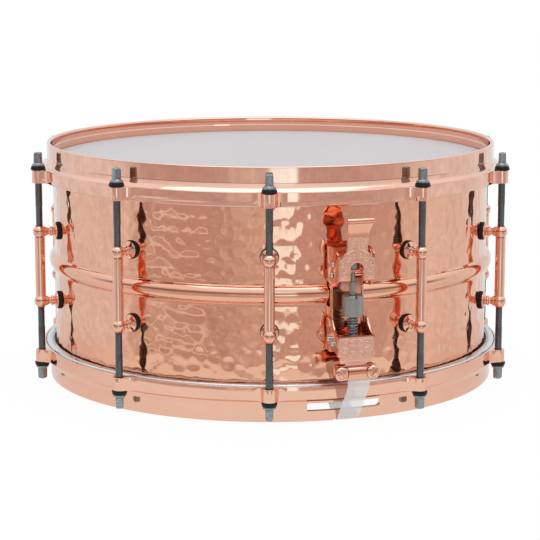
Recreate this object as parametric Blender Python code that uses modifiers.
"""Snare drum, 14 x 6.5 in: hammered metal shell with a centre bead, die-cast hoops,
ten double-post tube lugs, twenty tension rods, throw-off strainer, butt plate,
two heads and a set of snare wires.

Frame: metres, +Z up, origin on the drum's axis in the plane of the bottom rim.
Angles about the drum are measured from -Y towards +X. The throw-off faces
STRAINER_DEG and the ten lugs stand every 36 degrees from LUG0_DEG.

Fittings are shaped facing -Y and then turned to their angle. There x runs sideways
and "out" is the distance from the drum's axis towards -Y; names ending in _OUT hold it.
All sizes are in millimetres and are scaled by MM where geometry is made.
"""

import math

import bmesh
import bpy
from mathutils import Matrix, Vector

MM = 0.001

# ---------------------------------------------------------------- driving sizes (mm)
HEIGHT = 191.3            # rim to rim
MID = HEIGHT / 2
RIM_R = 182.5             # outer wall of each hoop
RIM_IN_R = 178.5          # inner wall of each hoop
SKIRT_R = 188.0           # outer wall of the hoop's skirt
SKIRT_IN_R = 186.1
SHELL_R = 177.6           # outside of the shell
SHELL_WALL = 1.2
SHELL_H = 165.1
BEAD_HALF = 6.9           # half height of the centre bead
BEAD_RISE = 4.5           # how far the bead stands out
SEAT_OUT = 177.5          # where fittings meet the outside of the shell
INNER_SEAT_OUT = 175.4    # where fittings meet the inside of the shell
GAP = 0.3                 # clearance between shell and head
FILM_T = 0.25             # thickness of a head's film

# lugs and tension rods
LUGS = 10
LUG0_DEG = 9.0
LUG_DEGREES = [LUG0_DEG + 360.0 / LUGS * i for i in range(LUGS)]
ROD_R = 193.0             # circle through the tension rods
ROD_DIA = 5.5
ROD_PAST_BALL = 14.0      # how far a rod reaches beyond its ball's centre
EAR_R = 5.0               # rounding of an ear about its rod
EAR_HOLE_R = 3.3
EAR_TOP = 18.0            # ear faces, measured in from the rim
EAR_BOTTOM = 28.3
BALL_Z = 28.1             # ball centres above and below the middle of the lug
TUBE_R = 4.0
BALL_R = 5.25
BORE_R = 3.05

# places round the drum
STRAINER_DEG = 27.0
BUTT_DEG = STRAINER_DEG + 180.0
VENT_DEG, VENT_Z = 171.0, 132.0
STRAINER_SCREW_Z = (70.0, 119.0)
BUTT_SCREW_Z = (48.0, 64.0)
SCREW_HOLE_R = 2.6

# strainer and butt plate
WALL = 1.4                # sheet thickness of the pressed parts
HALF_W = 14.3             # half width of strainer and butt plate
SIDE_INNER = HALF_W - WALL    # inner and outer faces of their side walls
SIDE_OUTER = HALF_W - 0.01    # just inside the edge of the front sheet
WEB_HALF = 13.2           # half width of cross plates, which end inside the side walls
FACE_OUT = 206.0          # strainer's front face
STEM_OUT = 197.0          # adjusting screw's axis
PIVOT_OUT, PIVOT_Z = 192.4, 112.5
WEB_TOP = 63.0            # top of the carriage's cross web
BUTT_OUT = 195.6          # butt plate's front face

# snare clamps and straps
STRAINER_JAW_OUT = 205.8  # outer face of the carriage's jaw
JAW_HALF = 15.4
JAW_BOTTOM = 36.4
CLAMP_Z = 41.8            # height of the clamp screws
CLAMP_X = 12.3            # clamp screws to either side of the middle
CLAMP_HOLE_R = 2.0
STRAP_HALF = 8.0
STRAP_T = 0.4

# snare wires
STRANDS = 20
STRAND_SPREAD = 20.0      # outermost strands to either side of the middle
STRAND_HALF = 0.45
WIRE_END = 162.0          # ends of the snare wires from the drum's axis
WIRE_Z = 11.4

# facets
SEG = 40                  # round the drum, so that every lug stands on a flat
SMALL = 8                 # round small turned pieces
MEDIUM = 10               # round the vent and the bosses
KNOB_SEG = 16
SHARP_DEG = 32            # edges steeper than this are shaded sharp
WELD = 0.000001           # metres

# ---------------------------------------------------------------- scene
for old in list(bpy.data.objects):
    bpy.data.objects.remove(old, do_unlink=True)
parts = bpy.data.collections.new("snare_drum")
cutters = bpy.data.collections.new("cutters")
bpy.context.scene.collection.children.link(parts)
bpy.context.scene.collection.children.link(cutters)


# ---------------------------------------------------------------- materials
def material(name, colour, roughness, metallic, alpha=1.0):
    mat = bpy.data.materials.new(name)
    mat.use_nodes = True
    inputs = mat.node_tree.nodes["Principled BSDF"].inputs
    inputs["Base Color"].default_value = (*colour, 1.0)
    inputs["Roughness"].default_value = roughness
    inputs["Metallic"].default_value = metallic
    inputs["Alpha"].default_value = alpha
    mat.diffuse_color = (*colour, alpha)
    return mat


COPPER_HAMMERED = material("hammered_copper", colour=(0.82, 0.47, 0.33),
                           roughness=0.12, metallic=1.0)
COPPER_PLATE = material("copper_plate", colour=(0.86, 0.55, 0.42),
                        roughness=0.10, metallic=1.0)
STEEL_DARK = material("dark_steel", colour=(0.10, 0.10, 0.11), roughness=0.38, metallic=1.0)
STEEL_SATIN = material("satin_steel", colour=(0.32, 0.32, 0.32), roughness=0.45, metallic=1.0)
STEEL_BRIGHT = material("bright_steel", colour=(0.70, 0.70, 0.70),
                        roughness=0.18, metallic=1.0)
ALUMINIUM = material("aluminium", colour=(0.66, 0.63, 0.62), roughness=0.35, metallic=1.0)
COATED_FILM = material("coated_film", colour=(0.80, 0.80, 0.80), roughness=0.75, metallic=0.0)
CLEAR_FILM = material("clear_film", colour=(0.78, 0.79, 0.80),
                      roughness=0.15, metallic=0.0, alpha=0.5)
STRAP = material("frosted_strap", colour=(0.80, 0.80, 0.80),
                 roughness=0.45, metallic=0.0, alpha=0.6)


# ---------------------------------------------------------------- outlines
def arc(x, y, radius, degrees):
    return [(x + radius * math.cos(math.radians(angle)),
             y + radius * math.sin(math.radians(angle))) for angle in degrees]


def circle(x, y, radius, start=0.0):
    return arc(x, y, radius, [start + 360.0 * i / SMALL for i in range(SMALL)])


def flip_x(points):
    """The mirrored half of an outline, in the order that closes it."""
    return [(-x, y) for x, y in reversed(points)]


def flip_z(points):
    """The mirrored half of a (radius, z) profile, in the order that continues it."""
    return [(radius, -z) for radius, z in reversed(points)]


# ---------------------------------------------------------------- placing
# sheet frames: a front outline lies in XZ facing -Y, and a side outline
# (out, height) in the YZ plane
TO_FRONT = Matrix(((1, 0, 0, 0), (0, 0, -1, 0), (0, 1, 0, 0), (0, 0, 0, 1)))
TO_SIDE = Matrix(((0, 0, -1, 0), (-1, 0, 0, 0), (0, 1, 0, 0), (0, 0, 0, 1)))
OUTWARD = Matrix.Rotation(math.radians(90), 4, "X")      # +Z to -Y
SIDEWAYS = Matrix.Rotation(math.radians(90), 4, "Y")     # +Z to +X


def turn_z(degrees):
    return Matrix.Rotation(math.radians(degrees), 4, "Z")


def shift(x=0.0, y=0.0, z=0.0):
    return Matrix.Translation((x * MM, y * MM, z * MM))


def placed(mesh, matrix):
    """A transformed copy."""
    copy = mesh.copy()
    copy.transform(matrix)
    return copy


# ---------------------------------------------------------------- mesh makers
def mesh_object(name, mesh, collection=parts):
    ob = bpy.data.objects.new(name, mesh)
    collection.objects.link(ob)
    return ob


def mesh_from(bm):
    mesh = bpy.data.meshes.new("shape")
    bm.to_mesh(mesh)
    bm.free()
    return mesh


def realized(ob, weld=0.0):
    """The evaluated mesh of a helper object, which is then removed."""
    bpy.context.view_layer.update()
    depsgraph = bpy.context.evaluated_depsgraph_get()
    mesh = bpy.data.meshes.new_from_object(ob.evaluated_get(depsgraph))
    mesh.transform(ob.matrix_world)
    if weld:
        bm = bmesh.new()
        bm.from_mesh(mesh)
        bmesh.ops.remove_doubles(bm, verts=bm.verts, dist=weld)
        bm.to_mesh(mesh)
        bm.free()
    bpy.data.objects.remove(ob, do_unlink=True)
    return mesh


def turned(profile, closed=False, steps=SMALL):
    """A lathed piece about Z. Profile points are (radius, height) and run down the
    outer side. The first facet edge is half a facet off the X axis."""
    start = math.pi / steps
    verts = [(radius * MM * math.cos(start), radius * MM * math.sin(start), z * MM)
             for radius, z in profile]
    last = len(verts) - 1
    edges = [(i, i + 1) for i in range(last)] + ([(last, 0)] if closed else [])
    mesh = bpy.data.meshes.new("turned")
    mesh.from_pydata(verts, edges, [])
    ob = mesh_object("turned", mesh)
    screw = ob.modifiers.new("turn", "SCREW")
    screw.axis = "Z"
    screw.angle = 2 * math.pi
    screw.steps = screw.render_steps = steps
    screw.use_merge_vertices = True
    screw.merge_threshold = 0.00001
    screw.use_smooth_shade = True
    return realized(ob)


def turned_outward(profile, x=0.0, z=0.0, closed=False, steps=SMALL):
    """A lathed piece about an axis facing -Y. Profile points are (radius, out)."""
    return placed(turned(profile, closed, steps), shift(x=x, z=z) @ OUTWARD)


def plate(outlines, thickness):
    """A flat sheet from 2D outlines (first the edge, then any holes),
    centred on its plane."""
    curve = bpy.data.curves.new("plate", "CURVE")
    curve.dimensions = "2D"
    curve.fill_mode = "BOTH"
    curve.extrude = thickness * MM / 2
    for outline in outlines:
        spline = curve.splines.new("POLY")
        spline.points.add(len(outline) - 1)
        for point, (x, y) in zip(spline.points, outline):
            point.co = (x * MM, y * MM, 0, 1)
        spline.use_cyclic_u = True
    return realized(mesh_object("plate", curve), WELD)


def front_sheet(outlines, inner_out, outer_out):
    mesh = plate(outlines, outer_out - inner_out)
    return placed(mesh, shift(y=-(inner_out + outer_out) / 2) @ TO_FRONT)


def side_sheet(outlines, x0, x1):
    return placed(plate(outlines, abs(x1 - x0)), shift(x=(x0 + x1) / 2) @ TO_SIDE)


def box(*spans):
    """A box from its (low, high) spans along X, Y and Z."""
    bm = bmesh.new()
    bmesh.ops.create_cube(bm, size=1.0)
    for vert in bm.verts:
        vert.co = Vector([(low + (unit + 0.5) * (high - low)) * MM
                          for unit, (low, high) in zip(vert.co, spans)])
    return mesh_from(bm)


def bar(radius, start, end, steps=SMALL):
    """A plain round bar between two points."""
    start, end = Vector(start) * MM, Vector(end) * MM
    axis = end - start
    turn = Vector((0, 0, 1)).rotation_difference(axis).to_matrix().to_4x4()
    bm = bmesh.new()
    bmesh.ops.create_cone(bm, cap_ends=True, segments=steps, radius1=radius * MM,
                          radius2=radius * MM, depth=axis.length,
                          matrix=Matrix.Translation((start + end) / 2) @ turn)
    return mesh_from(bm)


def radial_bar(radius, start_out, end_out, x=0.0, z=0.0, steps=SMALL):
    return bar(radius, (x, -start_out, z), (x, -end_out, z), steps)


def grouped(meshes):
    """Several meshes in one."""
    bm = bmesh.new()
    for mesh in meshes:
        bm.from_mesh(mesh)
    return mesh_from(bm)


def combined(base, add=(), cut=()):
    """base, joined to each mesh of add and then cut by each of cut."""
    ob = mesh_object("base", base)
    tools = [("UNION", mesh) for mesh in add] + [("DIFFERENCE", mesh) for mesh in cut]
    helpers = []
    for i, (operation, mesh) in enumerate(tools):
        helper = mesh_object("tool", mesh, cutters)
        helper.hide_render = True
        helper.display_type = "WIRE"
        helpers.append(helper)
        boolean = ob.modifiers.new(f"tool_{i}", "BOOLEAN")
        boolean.operation = operation
        boolean.solver = "EXACT"
        boolean.object = helper
    mesh = realized(ob)
    for helper in helpers:
        bpy.data.objects.remove(helper, do_unlink=True)
    return mesh


# ---------------------------------------------------------------- finished objects
def finish(name, mesh, mat):
    """Names, colours and shades a mesh."""
    mesh.name = name
    mesh.materials.clear()
    mesh.materials.append(mat)
    mesh.shade_smooth()
    mesh.set_sharp_from_angle(angle=math.radians(SHARP_DEG))


def add_part(name, mesh, mat, parent=None, origin=(0, 0, 0)):
    """A finished piece. origin, in the parent's frame, is where the object's
    own origin sits: on the joint axis of a moving piece."""
    offset = Vector(origin) * MM
    mesh.transform(Matrix.Translation(-offset))
    finish(name, mesh, mat)
    ob = mesh_object(name, mesh)
    ob.location = offset
    if parent is not None:
        ob.parent = parent


def add_on_rod_circle(name, mesh, degrees, height, tilt=0.0):
    """An object sharing mesh, on the rods' circle. tilt is its X rotation."""
    angle = math.radians(degrees)
    ob = mesh_object(name, mesh)
    ob.location = (ROD_R * MM * math.sin(angle), -ROD_R * MM * math.cos(angle), height * MM)
    ob.rotation_euler = (tilt, 0, angle)


def frame_empty(name, degrees):
    """Parent of the pieces that stand at one angle of the drum."""
    empty = bpy.data.objects.new(name, None)
    empty.rotation_euler = (0, 0, math.radians(degrees))
    empty.empty_display_size = 0.02
    parts.objects.link(empty)
    return empty


# ---------------------------------------------------------------- shell
def shell_profile():
    outer, inner = SHELL_R, SHELL_R - SHELL_WALL
    half = SHELL_H / 2
    # (radius, height above the middle), upper half
    upper_out = [(outer - 0.7, half), (outer, half - 0.8), (outer, BEAD_HALF + 0.6),
                 (outer + BEAD_RISE * 0.55, BEAD_HALF - 1.9),
                 (outer + BEAD_RISE * 0.95, 2.2)]
    upper_in = [(inner + BEAD_RISE * 0.95, 1.9), (inner + BEAD_RISE * 0.50, BEAD_HALF - 2.6),
                (inner, BEAD_HALF + 0.3), (inner, half - 1.6), (inner - 2.6, half - 4.2),
                (inner - 3.4, half - 3.4)]
    points = upper_out + flip_z(upper_out) + flip_z(upper_in) + upper_in
    return [(radius, MID + z) for radius, z in points]


def build_shell():
    drill = (172, 183)        # out distances that clear the shell's wall
    lug_hole = radial_bar(3.1, *drill)
    screw_hole = radial_bar(SCREW_HOLE_R, *drill)
    vent_hole = radial_bar(4.5, *drill, steps=MEDIUM)
    holes = [(lug_hole, degrees, MID + side * BALL_Z)
             for degrees in LUG_DEGREES for side in (-1, 1)]
    holes += [(screw_hole, STRAINER_DEG, z) for z in STRAINER_SCREW_Z]
    holes += [(screw_hole, BUTT_DEG, z) for z in BUTT_SCREW_Z]
    holes.append((vent_hole, VENT_DEG, VENT_Z))
    cut = grouped([placed(hole, turn_z(degrees) @ shift(z=z)) for hole, degrees, z in holes])
    mesh = combined(turned(shell_profile(), True, SEG), cut=[cut])
    add_part("shell", mesh, COPPER_HAMMERED)


def build_vent_grommet():
    """A flanged eyelet through the shell."""
    profile = [(3.0, 180.0), (5.6, 179.6), (6.4, SEAT_OUT), (4.0, SEAT_OUT),
               (4.0, INNER_SEAT_OUT), (5.8, INNER_SEAT_OUT), (5.8, 174.3), (3.0, 174.3)]
    mesh = turned_outward(profile, z=VENT_Z, closed=True, steps=MEDIUM)
    add_part("vent_grommet", mesh, COPPER_PLATE, frame_empty("vent_frame", VENT_DEG))


# ---------------------------------------------------------------- hoops
# (radius, distance in from the rim): outer side, then inner side
HOOP_PROFILE = [
    (RIM_R - 0.9, 0.0), (RIM_R, 0.9), (RIM_R, 12.0), (183.3, 15.0),
    (185.6, 17.3), (SKIRT_R - 0.6, 18.0), (SKIRT_R, 18.9), (SKIRT_R, EAR_BOTTOM),
    (SKIRT_IN_R, EAR_BOTTOM), (SKIRT_IN_R, 20.5), (179.2, 20.5),
    (RIM_IN_R, 19.6), (RIM_IN_R, 0.9), (RIM_IN_R + 0.9, 0.0)]

# (x, y) in plan, from the skirt to the start of the rounded nose, on the -X side
EAR_FLANK = [(-13.0, -186.4), (-13.0, -187.6), (-9.4, -188.6), (-7.0, -190.2), (-5.6, -192.2)]
EAR_NOSE_DEGREES = (188, 218, 254, 286, 322, 352)


def from_rim(profile, is_top):
    """Turns distances in from a rim into heights, still running down the outer side."""
    if is_top:
        return [(radius, HEIGHT - depth) for radius, depth in profile]
    return list(reversed(profile))


def ear_ring():
    """The ten ears, centred on z = 0."""
    nose = arc(0, -ROD_R, EAR_R, EAR_NOSE_DEGREES)
    hole = circle(0, -ROD_R, EAR_HOLE_R, start=180.0 / SMALL)
    ear = plate([EAR_FLANK + nose + flip_x(EAR_FLANK), hole], EAR_BOTTOM - EAR_TOP)
    return grouped([placed(ear, turn_z(degrees)) for degrees in LUG_DEGREES])


def snare_gates():
    """Cutters for the bottom hoop: a slot in the wall and a shallow relief in the
    rim, at the strainer and at the butt plate."""
    gate = box((-29.0, 29.0), (-185.5, -176.0), (8.0, 14.2))
    relief = box((-9.6, 9.6), (-185.0, -176.0), (-1.0, 0.85))
    return grouped([placed(shape, turn_z(degrees)) for shape in (gate, relief)
                    for degrees in (STRAINER_DEG, BUTT_DEG)])


def build_hoops():
    ears = ear_ring()
    ear_middle = (EAR_TOP + EAR_BOTTOM) / 2
    for name, is_top, ear_z, cuts in (("top_hoop", True, HEIGHT - ear_middle, []),
                                      ("bottom_hoop", False, ear_middle, [snare_gates()])):
        ring = turned(from_rim(HOOP_PROFILE, is_top), True, SEG)
        mesh = combined(ring, add=[placed(ears, shift(z=ear_z))], cut=cuts)
        add_part(name, mesh, COPPER_PLATE)


# ---------------------------------------------------------------- heads
FILM_DEPTH = HEIGHT / 2 - (SHELL_H / 2 + GAP) - FILM_T    # outer face, in from the rim
COLLAR_R = 178.2

# (radius, distance in from the rim): flat over the bearing edge, down the collar,
# out into the flesh hoop's groove, and back
FILM_PROFILE = [
    (0.0, FILM_DEPTH), (SHELL_R - 0.2, FILM_DEPTH), (COLLAR_R, FILM_DEPTH + 0.8),
    (COLLAR_R, 24.0), (182.6, 24.0), (182.6, 24.3), (COLLAR_R - FILM_T, 24.3),
    (COLLAR_R - FILM_T, FILM_DEPTH + 0.95), (SHELL_R - 0.3, FILM_DEPTH + FILM_T),
    (0.0, FILM_DEPTH + FILM_T)]

# (radius, distance in from the rim)
FLESH_PROFILE = [
    (179.0, 20.9), (185.6, 20.9), (185.6, 29.4), (179.0, 29.4), (179.0, 24.7),
    (183.0, 24.7), (183.0, 23.6), (179.0, 23.6)]


def build_heads():
    for side, is_top, film in (("batter", True, COATED_FILM), ("snare", False, CLEAR_FILM)):
        mesh = turned(from_rim(FILM_PROFILE, is_top), steps=SEG)
        add_part(f"{side}_head_film", mesh, film)
        mesh = turned(from_rim(FLESH_PROFILE, is_top), True, SEG)
        add_part(f"{side}_flesh_hoop", mesh, ALUMINIUM)


# ---------------------------------------------------------------- lugs
def build_lugs():
    # (radius, height above the middle), upper half
    tube_half = [(BORE_R, BALL_Z + 4.6), (3.7, BALL_Z + 4.6), (BALL_R - 0.5, BALL_Z + 2.6),
                 (BALL_R, BALL_Z), (BALL_R - 0.5, BALL_Z - 2.6), (TUBE_R, BALL_Z - 4.2)]
    tube = turned(tube_half + flip_z(tube_half), True)
    # (radius, out), from inside the ball to inside the shell
    post = turned_outward([
        (0.0, ROD_R - 3.9), (3.4, ROD_R - 3.9), (2.9, 186.2), (4.2, 184.2),
        (3.0, 182.6), (6.3, 181.2), (7.2, 180.0), (7.2, SEAT_OUT), (2.6, SEAT_OUT),
        (2.6, INNER_SEAT_OUT), (5.0, INNER_SEAT_OUT), (5.0, 173.0), (0.0, 173.0)])
    posts = grouped([placed(post, shift(z=z)) for z in (BALL_Z, -BALL_Z)])
    mesh = combined(placed(tube, shift(y=-ROD_R)), add=[posts])
    mesh = placed(mesh, shift(y=ROD_R))       # origin at the middle of the tube
    finish("lug_01", mesh, COPPER_PLATE)
    for i, degrees in enumerate(LUG_DEGREES):
        add_on_rod_circle(f"lug_{i + 1:02d}", mesh, degrees, MID)


# ---------------------------------------------------------------- tension rods
def build_rods():
    """The origin is the rod's seat, which is the outer face of the ear."""
    length = HEIGHT - EAR_TOP - (MID + BALL_Z) + ROD_PAST_BALL
    shank = ROD_DIA / 2
    body = turned([(0.0, 9.6), (2.6, 9.6), (3.1, 5.6), (4.9, 5.2), (4.9, 3.2), (5.9, 3.2),
                   (5.9, 0.3), (shank, 0.3), (shank, -length), (0.0, -length)])
    square_head = box((-2.8, 2.8), (-2.8, 2.8), (5.0, 14.0))
    mesh = combined(body, add=[square_head])
    finish("batter_rod_01", mesh, STEEL_DARK)
    for side, seat_z, tilt in (("batter", HEIGHT - EAR_TOP, 0.0), ("snare", EAR_TOP, math.pi)):
        for i, degrees in enumerate(LUG_DEGREES):
            add_on_rod_circle(f"{side}_rod_{i + 1:02d}", mesh, degrees, seat_z, tilt)


# ---------------------------------------------------------------- shared fittings
def build_mount_screws(prefix, frame, heights, tip_out):
    """Screws from inside the shell into the bosses."""
    for i, z in enumerate(heights):
        mesh = turned_outward([(0.0, tip_out), (2.2, tip_out), (2.2, INNER_SEAT_OUT),
                               (4.6, INNER_SEAT_OUT), (4.6, 173.2), (0.0, 172.6)], z=z)
        add_part(f"{prefix}_mount_screw_{i + 1}", mesh, STEEL_BRIGHT, frame, (0, -176, z))


def bosses(heights, end_out):
    return [radial_bar(6.0, SEAT_OUT, end_out, z=z, steps=MEDIUM) for z in heights]


def boss_holes(heights, end_out):
    return [radial_bar(SCREW_HOLE_R, 176.0, end_out, z=z) for z in heights]


def clamp_holes(start_out, end_out):
    return [radial_bar(CLAMP_HOLE_R, start_out, end_out, x=x, z=CLAMP_Z)
            for x in (-CLAMP_X, CLAMP_X)]


def build_clamp(prefix, frame, jaw_out):
    """Clamp bar and its two screws, outside the jaw's outer face."""
    bottom, top, half = CLAMP_Z - 5.1, CLAMP_Z + 4.1, 16.4
    mesh = front_sheet([[(-half, bottom), (half, bottom), (half, top), (-half, top)],
                        circle(-CLAMP_X, CLAMP_Z, CLAMP_HOLE_R),
                        circle(CLAMP_X, CLAMP_Z, CLAMP_HOLE_R)],
                       jaw_out + 1.0, jaw_out + 2.8)
    add_part(f"{prefix}_clamp_bar", mesh, COPPER_PLATE, frame, (0, -jaw_out, CLAMP_Z))
    profile = [(0.0, 5.4), (4.4, 5.4), (5.1, 4.7), (5.1, 3.1),
               (1.6, 3.1), (1.6, -4.0), (0.0, -4.0)]      # (radius, out from the jaw)
    profile = [(radius, jaw_out + out) for radius, out in profile]
    for side, x in (("left", -CLAMP_X), ("right", CLAMP_X)):
        add_part(f"{prefix}_clamp_screw_{side}", turned_outward(profile, x=x, z=CLAMP_Z),
                 COPPER_PLATE, frame, (x, -jaw_out, CLAMP_Z))


def build_strap(prefix, frame, jaw_out, bend_out):
    """A strap down from the clamp, in under the rim and up to the wires."""
    clamped_out = jaw_out + 0.5
    # centre line, (out, height)
    path = [(clamped_out, 46.0), (clamped_out, 30.0), (bend_out, 4.0), (183.2, 0.9),
            (181.8, 0.32), (177.7, 0.32), (176.2, 1.3), (166.0, 10.2), (163.2, 11.3)]
    one_side, other_side = [], []
    for i, (x, y) in enumerate(path):
        before, after = path[max(i - 1, 0)], path[min(i + 1, len(path) - 1)]
        run, rise = after[0] - before[0], after[1] - before[1]
        scale = STRAP_T / 2 / math.hypot(run, rise)
        one_side.append((x - rise * scale, y + run * scale))
        other_side.append((x + rise * scale, y - run * scale))
    outline = one_side + list(reversed(other_side))
    add_part(f"{prefix}_strap", side_sheet([outline], -STRAP_HALF, STRAP_HALF), STRAP, frame)


# ---------------------------------------------------------------- strainer
PIN_HOLE = circle(PIVOT_OUT, PIVOT_Z, 1.8)

# side outlines, (out, height)
BASE_CHEEK = [
    (177.5, 131.0), (177.5, 104.8), (182.9, 104.8), (182.9, 86.5), (177.5, 86.5),
    (177.5, 53.0), (186.4, 53.0), (186.4, 102.0), (189.0, 104.0),
    (195.5, 105.5), (197.5, 109.5), (197.5, 124.0), (192.5, 131.0)]
LEVER_CHEEK = [
    (184.6, 133.0), (184.6, 106.0), (186.2, 104.6), (198.0, 104.6), (204.6, 110.0),
    (205.0, 110.0), (205.0, 128.8), (196.0, 133.0)]
LEVER_NECK = [
    (FACE_OUT - WALL, 130.6), (FACE_OUT, 130.6), (206.6, 136.0), (207.8, 142.0),
    (209.4, 147.0), (211.0, 151.0), (209.7, 151.5), (208.0, 147.5),
    (206.4, 142.4), (205.2, 136.3)]
LEVER_LIP = [
    (210.2, 149.6), (211.2, 149.2), (212.4, 152.7), (214.0, 153.4), (214.7, 155.0),
    (214.1, 156.3), (212.8, 156.8), (211.4, 156.2), (210.8, 154.9), (211.0, 153.2)]
CARRIAGE_WALL = [
    (181.2, 79.0), (181.2, 59.4), (204.9, 54.7), (204.9, 68.5), (201.6, 69.8),
    (197.6, 72.4), (194.2, 76.0), (192.2, 79.0)]

# front outlines, (x, height), +X half from bottom to top
ARCH_HALF = 4.9
LEVER_FACE_HALF = [
    (ARCH_HALF, 109.7), (HALF_W, 109.7), (HALF_W, 125.6), (12.4, 126.4),
    (10.4, 127.8), (9.0, 129.4), (8.2, 131.4), (8.0, 132.4)]
CARRIAGE_FRONT_HALF = [
    (8.3, 46.2), (8.3, 48.9), (12.6, 48.5), (12.6, 53.2), (HALF_W, 54.2), (HALF_W, 68.8)]


def build_strainer_base(frame):
    """Back plate on two bosses, with two cheeks that bridge the shell's bead."""
    back_out = 184.6
    cheek_outer = 12.5
    back = box((-12.0, 12.0), (-back_out, -back_out + WALL), (53.0, 131.0))
    cheeks = [side_sheet([BASE_CHEEK, PIN_HOLE], side * (cheek_outer - WALL), side * cheek_outer)
              for side in (-1, 1)]
    mesh = combined(back, add=cheeks + bosses(STRAINER_SCREW_Z, 183.9),
                    cut=boss_holes(STRAINER_SCREW_Z, 182.8))
    add_part("strainer_base", mesh, COPPER_PLATE, frame)


def build_lever_pin(frame):
    half = [(0.0, 15.6), (2.2, 15.3), (2.2, 14.6), (1.5, 14.6)]
    mesh = placed(turned(half + flip_z(half)), shift(y=-PIVOT_OUT, z=PIVOT_Z) @ SIDEWAYS)
    add_part("lever_pin", mesh, STEEL_BRIGHT, frame, (0, -PIVOT_OUT, PIVOT_Z))


def build_throw_lever(frame):
    """Shaped face with an arch for the stem, two cheeks and a curled finger lip."""
    arch = arc(0, 118.1, ARCH_HALF, range(180, -1, -30))
    face = front_sheet([LEVER_FACE_HALF + flip_x(LEVER_FACE_HALF) + arch],
                       FACE_OUT - WALL, FACE_OUT)
    neck = side_sheet([LEVER_NECK], -7.99, 7.99)
    lip = side_sheet([LEVER_LIP], -10.3, 10.3)
    cheeks = [side_sheet([LEVER_CHEEK, PIN_HOLE], side * SIDE_INNER, side * SIDE_OUTER)
              for side in (1, -1)]
    add_part("throw_lever", combined(face, add=[neck, lip] + cheeks), COPPER_PLATE, frame,
             (0, -PIVOT_OUT, PIVOT_Z))


def build_adjusting_screw(frame):
    """The screw's head sits on a yoke that runs between the cheeks."""
    stem = turned([(0.0, 123.6), (4.4, 123.6), (5.0, 122.8), (5.0, 116.9), (1.7, 116.9),
                   (1.7, 108.0), (2.35, 107.6), (2.35, 57.0), (0.0, 57.0)])
    yoke = box((-10.5, 10.5), (-203.0, -194.6), (116.4, 117.4))
    mesh = combined(placed(stem, shift(y=-STEM_OUT)), add=[yoke])
    add_part("adjusting_screw", mesh, STEEL_SATIN, frame, (0, -STEM_OUT, 98))


def build_adjusting_knob(frame):
    knob = turned([(2.75, 98.2), (7.1, 98.2), (7.85, 97.2), (7.85, 84.0), (6.9, 82.2),
                   (2.75, 82.2)], True, KNOB_SEG)
    add_part("adjusting_knob", placed(knob, shift(y=-STEM_OUT)), STEEL_SATIN, frame,
             (0, -STEM_OUT, 90))


def build_knob_spring(frame):
    """Coil between the carriage's web and the knob."""
    coil_r, wire_r, turns, points_per_turn = 3.5, 0.45, 6, 8
    bottom, top = WEB_TOP + 0.8, 80.2
    curve = bpy.data.curves.new("coil", "CURVE")
    curve.dimensions = "3D"
    curve.bevel_depth = wire_r * MM
    curve.bevel_resolution = 0
    curve.use_fill_caps = True
    spline = curve.splines.new("POLY")
    steps = turns * points_per_turn
    spline.points.add(steps)
    for i, point in enumerate(spline.points):
        angle = 2 * math.pi * i / points_per_turn
        z = bottom + (top - bottom) * i / steps
        point.co = (coil_r * MM * math.cos(angle), coil_r * MM * math.sin(angle), z * MM, 1)
    coil = realized(mesh_object("coil", curve), WELD)
    add_part("knob_spring", placed(coil, shift(y=-STEM_OUT)), STEEL_SATIN, frame,
             (0, -STEM_OUT, 72))


def build_carriage(frame):
    """Clamp box whose side walls straddle the base."""
    front = front_sheet([CARRIAGE_FRONT_HALF + flip_x(CARRIAGE_FRONT_HALF)],
                        FACE_OUT - WALL, FACE_OUT)
    walls = [side_sheet([CARRIAGE_WALL], side * SIDE_INNER, side * SIDE_OUTER)
             for side in (1, -1)]
    web = box((-WEB_HALF, WEB_HALF), (-205.0, -190.2), (60.0, WEB_TOP))
    jaw = box((-JAW_HALF, JAW_HALF), (-STRAINER_JAW_OUT, -199.6), (JAW_BOTTOM, 47.2))
    stem_hole = bar(2.8, (0, -STEM_OUT, 58), (0, -STEM_OUT, 65))
    mesh = combined(front, add=walls + [web, jaw],
                    cut=[stem_hole, grouped(clamp_holes(207, 201.4))])
    add_part("snare_carriage", mesh, COPPER_PLATE, frame, (0, -STEM_OUT, 60))


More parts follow.
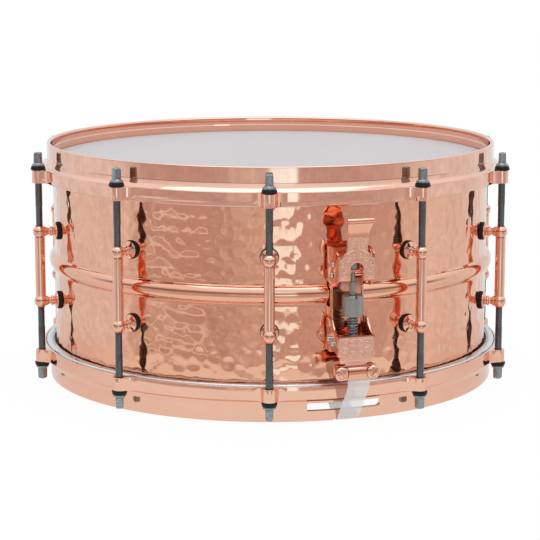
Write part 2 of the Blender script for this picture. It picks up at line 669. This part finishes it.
# ---------------------------------------------------------------- butt plate
def build_butt_plate(frame):
    """Front, two side walls, a back on two bosses, and the clamp's jaw."""
    back_out = 183.2
    side_outline = [(183.0, 68.0), (177.5, 68.0), (177.5, 42.0), (190.0, 37.0),
                    (BUTT_OUT, 36.0), (BUTT_OUT, 60.0), (190.0, 68.0)]    # (out, height)
    front = box((-HALF_W, HALF_W), (-BUTT_OUT, -BUTT_OUT + WALL), (45.8, 60.0))
    walls = [side_sheet([side_outline], side * SIDE_INNER, side * SIDE_OUTER)
             for side in (-1, 1)]
    back = box((-WEB_HALF, WEB_HALF), (-back_out, -back_out + WALL), (40.5, 67.6))
    jaw = box((-JAW_HALF, JAW_HALF), (-BUTT_OUT, -190.2), (JAW_BOTTOM, 47.4))
    holes = boss_holes(BUTT_SCREW_Z, 185.0) + clamp_holes(197, 191.2)
    mesh = combined(front, add=walls + [back, jaw, grouped(bosses(BUTT_SCREW_Z, 182.5))],
                    cut=[grouped(holes)])
    add_part("butt_plate", mesh, COPPER_PLATE, frame)


# ---------------------------------------------------------------- snare wires
def build_snare_wires(frame):
    """Two end plates joined by the strands, which run along Y."""
    plates = grouped([box((-21.5, 21.5), span, (10.7, 12.1))
                      for span in ((-WIRE_END, -150.0), (150.0, WIRE_END))])
    pitch = 2 * STRAND_SPREAD / (STRANDS - 1)
    centres = [-STRAND_SPREAD + pitch * i for i in range(STRANDS)]
    strands = grouped([box((x - STRAND_HALF, x + STRAND_HALF), (-151.0, 151.0), (11.0, 11.8))
                       for x in centres])
    add_part("snare_wires", combined(plates, add=[strands]), STEEL_BRIGHT, frame,
             (0, WIRE_END, WIRE_Z))


# ---------------------------------------------------------------- build
build_shell()
build_vent_grommet()
build_hoops()
build_heads()
build_lugs()
build_rods()

strainer_frame = frame_empty("strainer_frame", STRAINER_DEG)
build_strainer_base(strainer_frame)
build_mount_screws("strainer", strainer_frame, STRAINER_SCREW_Z, tip_out=182.4)
build_lever_pin(strainer_frame)
build_throw_lever(strainer_frame)
build_adjusting_screw(strainer_frame)
build_adjusting_knob(strainer_frame)
build_knob_spring(strainer_frame)
build_carriage(strainer_frame)
build_clamp("strainer", strainer_frame, STRAINER_JAW_OUT)
build_strap("strainer", strainer_frame, STRAINER_JAW_OUT, bend_out=185.0)

butt_frame = frame_empty("butt_frame", BUTT_DEG)
build_butt_plate(butt_frame)
build_mount_screws("butt", butt_frame, BUTT_SCREW_Z, tip_out=184.0)
build_clamp("butt", butt_frame, BUTT_OUT)
build_strap("butt", butt_frame, BUTT_OUT, bend_out=184.6)

build_snare_wires(strainer_frame)

# clear away the meshes used while shaping
for spare in list(bpy.data.meshes):
    if spare.users == 0:
        bpy.data.meshes.remove(spare)
